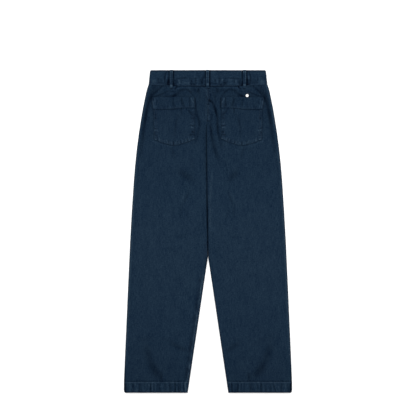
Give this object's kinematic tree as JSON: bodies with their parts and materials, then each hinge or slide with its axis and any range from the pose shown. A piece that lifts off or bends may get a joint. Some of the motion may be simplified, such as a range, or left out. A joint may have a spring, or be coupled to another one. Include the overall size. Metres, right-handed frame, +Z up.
{
  "type": "denim pants",
  "caption": "Wide straight-leg denim trousers lying flat, back side up, with a waistband, belt loops, back patch pockets and a small white button.",
  "frame": {"origin": "centre of the garment's footprint, on the surface that it lies on", "axes": "+Y towards the waist, +Z up out of the back of the trousers, +X towards the wearer's right"},
  "size_m": [0.5468, 1.0518, 0.0114],
  "materials": {
    "denim": "dark indigo denim twill, matt, washed a little paler on seams and edges",
    "white_button": "smooth white, softly glossy",
    "dark_button": "smooth dark, softly glossy"
  },
  "bodies": {
    "root": {"back_left": "denim", "back_right": "denim", "front_left": "denim", "front_right": "denim", "waistband": "denim", "back_pocket_left": "denim", "back_pocket_right": "denim", "belt_loop_back_left": "denim", "belt_loop_back_center": "denim", "belt_loop_back_right": "denim", "belt_loop_front_left": "denim", "belt_loop_front_right": "denim", "back_button": "white_button", "waist_button": "dark_button"}
  },
  "joints": []
}
